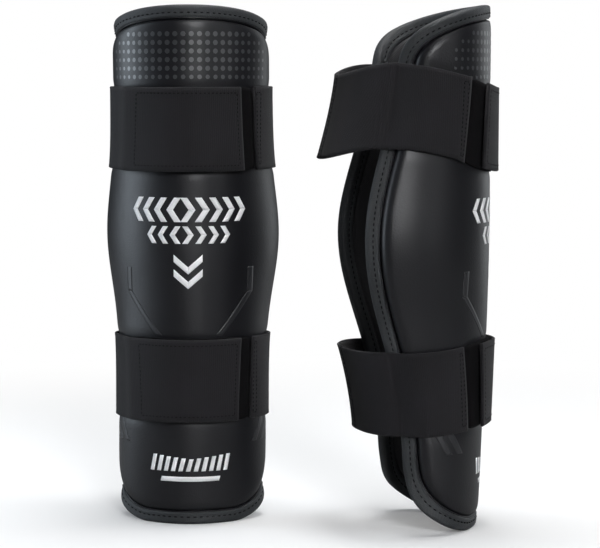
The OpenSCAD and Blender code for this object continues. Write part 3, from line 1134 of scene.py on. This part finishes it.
        uv = np.stack(np.broadcast_arrays(run[:, None], across[None, :]), axis=-1) * MM
        obj = sweep(f"{self.name}_binding_tape", rings, uv, closed=True)
        finish_piece(obj, self.finishes.binding)
        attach(obj, self.body)
        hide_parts(f"{self.name}_edge_binding")
        return obj

    def _facing(self, local: Callable[[float], Array]) -> tuple[Array, Array]:
        """Placed points and outward normals from a function of the height over the lining."""
        low = self.stance.place(local(0.0))
        high = self.stance.place(local(1.0))
        normal = high - low
        return low, normal / np.linalg.norm(normal, axis=-1, keepdims=True)

    def build_hem_stitches(self) -> list[bpy.types.Object]:
        """Stitch rows on both faces of the binding."""
        pieces = []
        count = int(round(self._hem_shares(8)[1, 2] * 8 / self.stitch_pitch))
        for face, t0, sign in (("outer", self.shape.flange_t + self.tape_t + 0.02, 1),
                               ("inner", -self.tape_t - 0.02, -1)):
            points, normal = self._facing(lambda t: self._hem(count, self.stitch_inset, t0 + t))
            along = np.roll(points, -1, axis=0) - np.roll(points, 1, axis=0)
            along /= np.linalg.norm(along, axis=-1, keepdims=True)
            obj = self.repeater.repeat(f"{self.name}_hem_stitches_{face}", Mark.STITCH, points, sign * normal, along,
                                       HEM_STITCH, self.finishes.thread)
            finish_piece(obj, None)
            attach(obj, self.body)
            pieces.append(obj)
        return pieces

    def build_dots(self) -> bpy.types.Object:
        """Tone-on-tone field of dots under the top edge, larger towards its middle rows."""
        pitch, rows_z = 5.9, np.arange(322.8, 361.0, 6.1)
        places = [(u, z) for z in rows_z for u in np.arange(-11.5, 11.6) * pitch]
        u, z = np.array(places).T
        angle = self.shape.angle_at(z, u, self.shape.pad_t)
        edge = self.shape.edge_angle(z, self.dot_margin)
        power = self.shape.corner_power
        round_off = np.maximum(0, 1 - np.abs(angle / edge) ** power) ** (1 / power)
        top = self.shape.height - self.shape.top_corner_h + (self.shape.top_corner_h - self.dot_margin_top) * round_off
        keep = (np.abs(angle) < edge) & (z < top)
        u, z, angle = u[keep], z[keep], angle[keep]
        height = self.cover_height(z, angle, np.full_like(z, 60.0))
        points, normal = self._facing(lambda t: self.shape.skin(z, angle, height + 0.02 + t))
        along = np.cross(normal, (0, 0, 1.0))
        size = 1.0 - 0.35 * ease((np.abs(u) - 30.0) / 40.0) - 0.15 * ease((335.0 - z) / 14.0)
        parts = []
        for k, (low, high) in enumerate(((0.0, 0.75), (0.75, 0.92), (0.92, 2.0))):
            pick = (size >= low) & (size < high)
            if pick.any():
                dia = (2.7, 3.3, 3.8)[k]
                parts.append(self.repeater.repeat(f"{self.name}_dots_{k}", Mark.DOT, points[pick], normal[pick],
                                                  along[pick], (dia, dia, 0.07), self.finishes.dots, 0.05))
        obj = joined(f"{self.name}_dot_field", parts)
        finish_piece(obj, self.finishes.dots)
        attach(obj, self.body)
        return obj

    def _film(self, name: str, corners: Sequence[tuple[float, float]],
              lift: float = 0.13) -> bpy.types.Object:
        """Thin printed parallelogram on the cover.

        Args:
            name: Name of the part.
            corners: Its bottom left, bottom right and top left corners: length round the section, height.
            lift: Its thickness.

        Returns:
            The object.
        """
        (u0, z0), (u1, z1), (u2, z2) = corners
        n = max(2, int(math.hypot(u1 - u0, z1 - z0) / 1.5))
        m = max(2, int(math.hypot(u2 - u0, z2 - z0) / 1.5))
        p, q = np.meshgrid(np.linspace(0, 1, n + 1), np.linspace(0, 1, m + 1))
        u = u0 + (u1 - u0) * p + (u2 - u0) * q
        z = z0 + (z1 - z0) * p + (z2 - z0) * q
        angle = self.shape.angle_at(z.ravel(), u.ravel(), self.shape.pad_t).reshape(z.shape)
        height = self.cover_height(z, angle, np.full_like(z, 60.0))
        place = self.stance.place
        return slab(name, place(self.shape.skin(z, angle, height - 0.1)),
                    place(self.shape.skin(z, angle, height + lift)), np.stack([u, z], axis=-1) * MM)

    def _chevrons(self, z: float, tall: float, stroke: float, pitch: float, count: int,
                  prefix: str) -> list[bpy.types.Object]:
        """Row of plain chevrons that point outwards from the middle."""
        parts = []
        lean = tall * 0.34
        for k in range(count):
            u = (k - (count - 1) / 2) * pitch
            way = 1 if u >= 0 else -1
            for half, z0 in ((1, z), (-1, z + tall)):
                start = u - way * lean / 2 - stroke / 2
                parts.append(self._film(f"{prefix}_{k}_{half}", (
                    (start, z0), (start + stroke, z0), (start + way * lean, z + tall / 2))))
        return parts

    def build_print(self) -> bpy.types.Object:
        """White print: two rows of chevrons, a stacked chevron and a slanted bar row near the hem."""
        parts = self._chevrons(219.5, 17.5, 5.0, 10.4, 9, "row_a")
        parts += self._chevrons(204.0, 12.5, 4.0, 9.4, 7, "row_b")
        for k, z in enumerate((171.5, 182.0)):
            for way in (-1, 1):
                parts.append(self._film(f"peak_{k}_{way}", ((0, z), (way * 10.5, z + 9.0), (0, z + 5.2))))
        for k in range(11):
            u = (k - 5) * 5.6
            tall = 9.0 + 3.0 * abs(k - 5) / 5
            parts.append(self._film(f"bar_{k}", ((u - 2.6, 38.5), (u + 0.6, 38.5), (u, 38.5 + tall))))
        parts.append(self._film("bar_line", ((-22.0, 31.0), (22.0, 31.0), (-21.0, 34.5))))
        obj = joined(f"{self.name}_front_print", parts)
        finish_piece(obj, self.finishes.ink)
        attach(obj, self.body)
        return obj

    def build_stripes(self) -> bpy.types.Object:
        """Tone-on-tone angular stripes low on both sides of the cover."""
        parts = []
        for way in (-1, 1):
            for k, (u, z) in enumerate(((52.0, 57.0), (62.0, 57.0))):
                parts.append(self._film(f"low_{way}_{k}", (
                    (way * u, z), (way * (u + 6.0), z), (way * (u + 17.0), z + 26.0)), 0.03))
            parts.append(self._film(f"mid_{way}", (
                (way * 20.0, 137.0), (way * 26.0, 137.0), (way * 50.0, 168.0)), 0.03))
            parts.append(self._film(f"side_{way}", (
                (way * 50.0, 168.0), (way * 56.0, 168.0), (way * 50.0, 186.0)), 0.03))
        obj = joined(f"{self.name}_tonal_stripes", parts)
        finish_piece(obj, self.finishes.stripe)
        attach(obj, self.body)
        return obj

    def build(self) -> None:
        """Builds every piece of the shell."""
        self.build_cover()
        self.build_foams()
        self.build_lining()
        self.build_binding()
        self.build_hem_stitches()
        self.build_dots()
        self.build_print()
        self.build_stripes()


@dataclass
class Strap:
    """One closing strap: loop panel, sewn end, elastic round the back, tab and hook patch."""

    guard: str
    level: Level
    shape: StrapShape
    stance: Stance
    finishes: Finishes
    repeater: Repeater
    across: int = 22
    edge_roll: float = 0.5
    seam_lap: float = 0.035
    stitch_pitch: float = 3.0

    @property
    def name(self) -> str:
        """Name of the strap, as in left_upper."""
        return f"{self.guard}_{self.level.value}"

    @property
    def shell_body(self) -> str:
        """Body of the shell that the strap is sewn to."""
        return f"{self.guard}_shell"

    def _loop_profile(self, thickness: float) -> tuple[Array, Array]:
        """Closed outline of webbing, seen along its length.

        Args:
            thickness: Thickness of the webbing.

        Returns:
            Distances across the strap and heights over its inner face, in order round it.
        """
        half = self.shape.width / 2
        w = np.linspace(-half + self.edge_roll, half - self.edge_roll, self.across)
        swell = thickness + 0.12 * np.exp(-((half - np.abs(w)) / 2.0) ** 2)
        outer = np.stack([w, swell], axis=-1)
        inner = np.stack([w[::-1], np.zeros_like(w)], axis=-1)
        roll = np.array([(half, thickness * 0.72), (half, thickness * 0.28)])
        profile = np.concatenate([outer, roll, inner, roll[::-1] * (-1, 1)])
        return profile[:, 0], profile[:, 1]

    def _band_rings(self, right_from: float, q_to: float) -> Array:
        """Rings of the rear elastic from an angle on the sewn side to a share of the back run."""
        w, t = self._loop_profile(self.shape.elastic_t)
        wing = self.shape.shell.wing_angle
        angles = np.linspace(right_from, wing, 30)[:-1]
        rings = [self.shape.on_shell(np.full_like(w, a), w, lambda b, t=t: self.shape.seat(b) + t) for a in angles]
        rings += [self.shape.behind(np.full_like(w, q), w, t) for q in np.linspace(0, q_to, 40)]
        return np.array(rings)

    def _front_rings(self, q_from: float) -> Array:
        """Rings from a share of the back run, round the other side, to the end of the tab."""
        wing, end = self.shape.shell.wing_angle, self.shape.tab_end
        w, t = self._loop_profile(self.shape.elastic_t)
        rings = [self.shape.behind(np.full_like(w, q), w, t + 0.12) for q in np.linspace(q_from, 1, 40)[:-1]]
        for a in np.linspace(-wing, end, 110):
            share = float(self.shape.tab_share(np.array(a)))
            thick = self.shape.tab_t + (self.shape.elastic_t - self.shape.tab_t) * share
            w, t = self._loop_profile(thick)
            seat = lambda b, t=t: mix(self.shape.tab_seat(b), self.shape.seat(b), self.shape.tab_share(b)) + t
            rings.append(self.shape.on_shell(np.full_like(w, a), w, seat))
        return np.array(rings)

    def _strip(self, name: str, rings: Array) -> bpy.types.Object:
        """Webbing through rings, with UVs along its length and round its outline."""
        placed = self.stance.place(rings)
        middle = placed.mean(axis=1)
        run = np.concatenate([[0.0], np.cumsum(np.linalg.norm(np.diff(middle, axis=0), axis=-1))])
        across = np.concatenate([[0.0], np.cumsum(np.linalg.norm(np.diff(placed[0], axis=0), axis=-1))])
        uv = np.stack(np.broadcast_arrays(run[:, None], across[None, :]), axis=-1)
        return sweep(name, placed, uv, closed=False)

    def _to_world(self, direction: tuple[float, float]) -> Vector:
        """Direction of the guard's frame in the shared frame."""
        ends = self.stance.place(np.array([(0.0, 0.0, 0.0), (*direction, 0.0)]))
        return Vector(ends[1] - ends[0]).normalized()

    def build_rear(self) -> bpy.types.Object:
        """Sewn end and rear band: one elastic that bends at the wing edge."""
        rings = self._band_rings(self.shape.loop_end + 0.01, 0.5 + self.seam_lap)
        obj = self._strip(f"{self.name}_elastic_rear", rings)
        finish_piece(obj, self.finishes.elastic)
        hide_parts(f"{self.name}_strap_anchor", f"{self.name}_strap_band")
        way = self._to_world((-0.6, 0.8))
        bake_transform(obj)
        return obj

    def build_front(self) -> bpy.types.Object:
        """Rest of the elastic and the tab: one webbing, thicker and raised over the hook patch where it is the tab."""
        obj = self._strip(f"{self.name}_elastic_tab", self._front_rings(0.5 - self.seam_lap))
        finish_piece(obj, self.finishes.elastic)
        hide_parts(f"{self.name}_strap_tab")
        way = self._to_world((0.0, -1.0))
        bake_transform(obj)
        return obj

    def _patch(self, name: str, a0: float, a1: float, width: float, t0: float, t1: float) -> bpy.types.Object:
        """Flat strip on the front of the shell with rounded corners."""
        n, m = 70, 40
        u, v = np.meshgrid(np.linspace(-1, 1, n + 1), np.linspace(-1, 1, m + 1))
        # a superellipse keeps the corners round
        corner = 14.0
        u_round = u * (1 - np.abs(v) ** corner * 0.03)
        v_round = v * (1 - np.abs(u) ** corner * 0.06)
        a = mix(a0, a1, (u_round + 1) / 2)
        w = v_round * width / 2
        inner = self.shape.on_shell(a, w, lambda b: np.full_like(b, t0))
        edge = np.maximum(np.abs(u), np.abs(v))
        soft = 0.35 * ease((edge - 0.93) / 0.07)
        outer = self.shape.on_shell(a, w, lambda b: t1 - soft * (t1 - t0))
        run = self.shape.shell.arc(np.full_like(a, self.shape.middle_z), a, t0)
        return slab(name, self.stance.place(inner), self.stance.place(outer),
                    np.stack([run, w], axis=-1) * MM)

    def build_loop_panel(self) -> bpy.types.Object:
        """Loop panel sewn to the front of the cover."""
        top = self.shape.shell.pad_t + self.shape.loop_t
        obj = self._patch(f"{self.name}_loop_fleece", -self.shape.loop_end, self.shape.loop_end,
                          self.shape.width + 0.6, self.shape.shell.pad_t - 1.4, top)
        finish_piece(obj, self.finishes.loop)
        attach(obj, self.shell_body)
        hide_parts(f"{self.name}_loop_panel")
        return obj

    def build_hook_patch(self) -> list[bpy.types.Object]:
        """Hook patch under the tab, with its rows of hooks."""
        seat = self.shape.hook_seat()
        base = self._patch(f"{self.name}_hook_base", -self.shape.hook_end - 0.05, self.shape.hook_end,
                           self.shape.width - 6.0, seat + 0.5, seat + self.shape.hook_t - 0.1)
        finish_piece(base, self.finishes.hook)
        angles = np.linspace(-self.shape.hook_end - 0.03, self.shape.hook_end - 0.02, 44)
        w = np.linspace(-self.shape.width / 2 + 4.5, self.shape.width / 2 - 4.5, 28)
        a, ww = np.meshgrid(angles, w)
        a, ww = a.ravel(), ww.ravel()
        low = self.stance.place(self.shape.on_shell(a, ww, lambda b: np.full_like(b, seat + 0.3)))
        high = self.stance.place(self.shape.on_shell(a, ww, lambda b: np.full_like(b, seat + 1.3)))
        inward = (low - high) / np.linalg.norm(low - high, axis=-1, keepdims=True)
        along = np.tile((0.0, 0.0, 1.0), (len(low), 1))
        hooks = self.repeater.repeat(f"{self.name}_hooks", Mark.HOOK, low, inward, along, (0.9, 0.9, 0.7),
                                     self.finishes.hook)
        finish_piece(hooks, None)
        for obj in (base, hooks):
            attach(obj, f"{self.name}_tab")
        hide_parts(f"{self.name}_hook_patch")
        return [base, hooks]

    def _stitch_path(self, corners: Sequence[tuple[float, float]], height: Callable[[Array], Array],
                     inward: bool = False) -> tuple[Array, Array, Array]:
        """Stitch places along straight runs on the strap.

        Args:
            corners: Angle and distance across at each end of the runs.
            height: Height over the lining as a function of the angle.
            inward: Whether the stitches face the leg.

        Returns:
            Places, outward normals and directions.
        """
        places, normals, ways = [], [], []
        for (a0, w0), (a1, w1) in zip(corners[:-1], corners[1:]):
            ends = self.shape.on_shell(np.linspace(a0, a1, 30), np.linspace(w0, w1, 30), height)
            length = np.linalg.norm(np.diff(ends, axis=0), axis=-1).sum()
            count = max(2, int(length / self.stitch_pitch))
            share = (np.arange(count) + 0.5) / count
            a, w = a0 + (a1 - a0) * share, w0 + (w1 - w0) * share
            low = self.stance.place(self.shape.on_shell(a, w, height))
            high = self.stance.place(self.shape.on_shell(a, w, lambda b: height(b) + 1.0))
            normal = (high - low) / np.linalg.norm(high - low, axis=-1, keepdims=True)
            places.append(low)
            normals.append(-normal if inward else normal)
            ways.append(directions(low))
        return np.concatenate(places), np.concatenate(normals), np.concatenate(ways)

    def build_stitches(self) -> list[bpy.types.Object]:
        """Box stitch of the tab, rows at the sewn end, and the seam behind the leg."""
        shape = self.shape
        half = shape.width / 2 - 4.2
        left, right = -shape.hook_end - 0.02, shape.hook_end - 0.02
        box = [(left, -half), (right, -half), (right, half), (left, half), (left, -half)]
        pieces = []
        top = shape.hook_seat() + shape.hook_t + shape.tab_t + 0.02
        sets = [(f"{self.name}_tab_stitches", box, lambda b: np.full_like(b, top), f"{self.name}_tab")]
        a0, a1 = shape.loop_end + 0.05, shape.loop_end + 0.11
        rows = [(a0, -half), (a0, half), (a1, half), (a1, -half), (a0, -half)]
        sets.append((f"{self.name}_anchor_stitches", rows, lambda b: shape.seat(b) + shape.elastic_t + 0.02,
                     self.shell_body))
        for name, corners, height, body in sets:
            points, normal, along = self._stitch_path(corners, height)
            obj = self.repeater.repeat(name, Mark.STITCH, points, normal, along, STRAP_STITCH, self.finishes.thread)
            finish_piece(obj, None)
            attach(obj, body)
            pieces.append(obj)
        pieces.append(self._seam_stitches())
        return pieces

    def _seam_stitches(self) -> bpy.types.Object:
        """Two stitch rows where the rear elastic and the tab's webbing are lapped."""
        shape = self.shape
        w = np.arange(-shape.width / 2 + 3, shape.width / 2 - 2.9, self.stitch_pitch)
        points, normals, ways = [], [], []
        for q in (0.5 - self.seam_lap * 0.6, 0.5 + self.seam_lap * 0.6):
            at = np.full_like(w, q)
            low = self.stance.place(shape.behind(at, w, np.full_like(w, shape.elastic_t + 0.16)))
            high = self.stance.place(shape.behind(at, w, np.full_like(w, shape.elastic_t + 1.1)))
            points.append(low)
            normals.append((high - low) / np.linalg.norm(high - low, axis=-1, keepdims=True))
            ways.append(directions(low))
        obj = self.repeater.repeat(f"{self.name}_seam_stitches", Mark.STITCH, np.concatenate(points),
                                   np.concatenate(normals), np.concatenate(ways), STRAP_STITCH,
                                   self.finishes.thread)
        finish_piece(obj, None)
        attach(obj, f"{self.name}_band")
        return obj

    def build(self) -> None:
        """Builds every piece of the strap."""
        self.build_loop_panel()
        self.build_rear()
        self.build_front()
        self.build_hook_patch()
        self.build_stitches()


# ---------------------------------------------------------------- studio


@dataclass(frozen=True)
class Softbox:
    """Large soft light that looks at a point of the pair."""

    name: str
    place: tuple[float, float, float]
    aim: tuple[float, float, float]
    size: tuple[float, float]
    power: float
    colour: tuple[float, float, float] = (1.0, 1.0, 1.0)
    spread: float = 180.0
    gloss: bool = True

    def build(self) -> bpy.types.Object:
        """Makes the light."""
        light = bpy.data.lights.new(self.name, "AREA")
        light.shape = "RECTANGLE"
        light.size, light.size_y = self.size
        light.energy = self.power
        light.color = self.colour
        obj = bpy.data.objects.new(self.name, light)
        obj.location = self.place
        obj.rotation_euler = (Vector(self.aim) - Vector(self.place)).to_track_quat("-Z", "Y").to_euler()
        light.spread = math.radians(self.spread)
        obj.visible_camera = False
        obj.visible_glossy = self.gloss
        bpy.context.collection.objects.link(obj)
        return obj


@dataclass
class Studio:
    """Pale floor, soft light and camera."""

    lens: float = 129.4
    distance: float = 1.542
    camera_z: float = 0.3146
    pitch: float = math.radians(4.88)
    floor_half: float = 60.0
    floor_glow: float = 0.1
    floor_fade: tuple[float, float] = (0.28, 0.95)
    floor_bounce: float = 0.3

    def build_floor(self) -> bpy.types.Object:
        """Pale satin floor."""
        h = self.floor_half
        corners = [(-h, -h, 0.0), (h, -h, 0.0), (h, h, 0.0), (-h, h, 0.0)]
        floor = make_object("studio_floor", np.array(corners), [(0, 1, 2, 3)])
        material = bpy.data.materials.new("studio_floor")
        material.use_nodes = True
        nodes, link = material.node_tree.nodes, material.node_tree.links.new
        satin = nodes["Principled BSDF"]
        satin.inputs["Base Color"].default_value = (0.88, 0.88, 0.88, 1.0)
        satin.inputs["Roughness"].default_value = 0.4
        satin.inputs["Specular IOR Level"].default_value = 0.3
        satin.inputs["Emission Color"].default_value = (1.0, 1.0, 1.0, 1.0)
        satin.inputs["Emission Strength"].default_value = self.floor_glow
        far = nodes.new("ShaderNodeEmission")
        far.inputs["Strength"].default_value = 1.0
        where = nodes.new("ShaderNodeTexCoord")
        reach = nodes.new("ShaderNodeVectorMath")
        reach.operation = "LENGTH"
        fade = nodes.new("ShaderNodeMapRange")
        fade.interpolation_type = "SMOOTHSTEP"
        fade.inputs["From Min"].default_value = self.floor_fade[0]
        fade.inputs["From Max"].default_value = self.floor_fade[1]
        spread = nodes.new("ShaderNodeMixShader")
        dim = nodes.new("ShaderNodeBsdfDiffuse")
        dim.inputs["Color"].default_value = (*[self.floor_bounce] * 3, 1.0)
        path = nodes.new("ShaderNodeLightPath")
        seen = nodes.new("ShaderNodeMixShader")
        link(where.outputs["Object"], reach.inputs[0])
        link(reach.outputs["Value"], fade.inputs["Value"])
        link(fade.outputs["Result"], spread.inputs[0])
        link(satin.outputs[0], spread.inputs[1])
        link(far.outputs[0], spread.inputs[2])
        link(path.outputs["Is Camera Ray"], seen.inputs[0])
        link(dim.outputs[0], seen.inputs[1])
        link(spread.outputs[0], seen.inputs[2])
        link(seen.outputs[0], nodes["Material Output"].inputs["Surface"])
        floor.data.materials.append(material)
        return floor

    def build_world(self) -> None:
        """White to the camera, dim to everything else."""
        world = bpy.data.worlds.new("studio")
        bpy.context.scene.world = world
        world.use_nodes = True
        nodes, link = world.node_tree.nodes, world.node_tree.links.new
        dim = nodes["Background"]
        dim.inputs["Color"].default_value = (0.9, 0.95, 1.0, 1.0)
        dim.inputs["Strength"].default_value = 0.05
        white = nodes.new("ShaderNodeBackground")
        white.inputs["Color"].default_value = (1.0, 1.0, 1.0, 1.0)
        white.inputs["Strength"].default_value = 1.0
        path = nodes.new("ShaderNodeLightPath")
        both = nodes.new("ShaderNodeMixShader")
        link(path.outputs["Is Camera Ray"], both.inputs[0])
        link(dim.outputs[0], both.inputs[1])
        link(white.outputs[0], both.inputs[2])
        link(both.outputs[0], nodes["World Output"].inputs["Surface"])

    def build_camera(self) -> bpy.types.Object:
        """Camera in front of the pair, a little above its middle."""
        camera = bpy.data.cameras.new("studio_camera")
        camera.lens = self.lens
        camera.sensor_width = 36.0
        obj = bpy.data.objects.new("studio_camera", camera)
        front = -0.038
        obj.location = (0.0006, front - self.distance * math.cos(self.pitch), self.camera_z)
        obj.rotation_euler = (math.pi / 2 - self.pitch, 0.0, 0.0)
        bpy.context.collection.objects.link(obj)
        bpy.context.scene.camera = obj
        return obj

    def build(self) -> None:
        """Builds the whole studio."""
        self.build_floor()
        self.build_world()
        self.build_camera()
        lights = (
            Softbox("left_softbox", (-1.48, 0.28, 0.34), (-0.08, -0.02, 0.2),
                    (0.5, 1.3), 14.5, (0.8, 0.9, 1.0)),
            Softbox("rear_softbox", (1.05, 1.05, 0.4), (0.05, 0.0, 0.2), (0.5, 1.3), 4.2, (0.93, 0.97, 1.0)),
            Softbox("front_softbox", (1.42, -0.85, 0.55), (0.0, 0.0, 0.2),
                    (0.3, 0.9), 2.2, (0.96, 0.98, 1.0)),
            Softbox("side_softbox", (0.5, -1.25, 0.75), (0.16, 0.0, 0.25),
                    (1.1, 0.9), 2.2, (0.97, 0.98, 1.0), 24.0),
            Softbox("print_fill", (-0.3, -2.0, 0.9), (0.0, 0.0, 0.2),
                    (1.2, 1.0), 3.2, (1.0, 1.0, 1.0), 180.0, False),
            Softbox("overhead", (0.1, 0.1, 1.7), (0.0, 0.0, 0.0), (1.0, 0.8), 28.0),
        )
        for light in lights:
            light.build()
        bpy.context.scene.view_settings.view_transform = "Standard"


@dataclass
class Guard:
    """A whole guard: shell and straps."""

    side: Side
    stance: Stance
    upper: tuple[float, float, float, float]
    lower: tuple[float, float, float, float]
    finishes: Finishes
    repeater: Repeater
    shell: ShellShape = field(default_factory=ShellShape)

    def build(self) -> None:
        """Builds the shell and both straps."""
        name = self.side.value
        straps = tuple(StrapShape(self.shell, *values) for values in (self.upper, self.lower))
        Shell(name, self.shell, self.stance, straps, self.finishes, self.repeater).build()
        for level, strap in zip((Level.UPPER, Level.LOWER), straps):
            Strap(name, level, strap, self.stance, self.finishes, self.repeater).build()
        LOG.info("%s guard done", name)


def main() -> None:
    """Builds the pair and the studio around the frame."""
    logging.basicConfig(level=logging.INFO, format="%(name)s: %(message)s", stream=sys.stdout)
    finishes = Finishes(ShaderKit())
    repeater = Repeater()
    Studio().build()
    Guard(Side.LEFT, Stance(-79.4, -38.1, 0.0, False), (285.5, 1, 1, 31), (105.0, -1, -1, 22),
          finishes, repeater).build()
    Guard(Side.RIGHT, Stance(136.6, -13.1, math.radians(100.0), True), (285.5, 17, 9, 31), (105.0, -5, -5, 22),
          finishes, repeater).build()


if __name__ == "__main__":
    main()
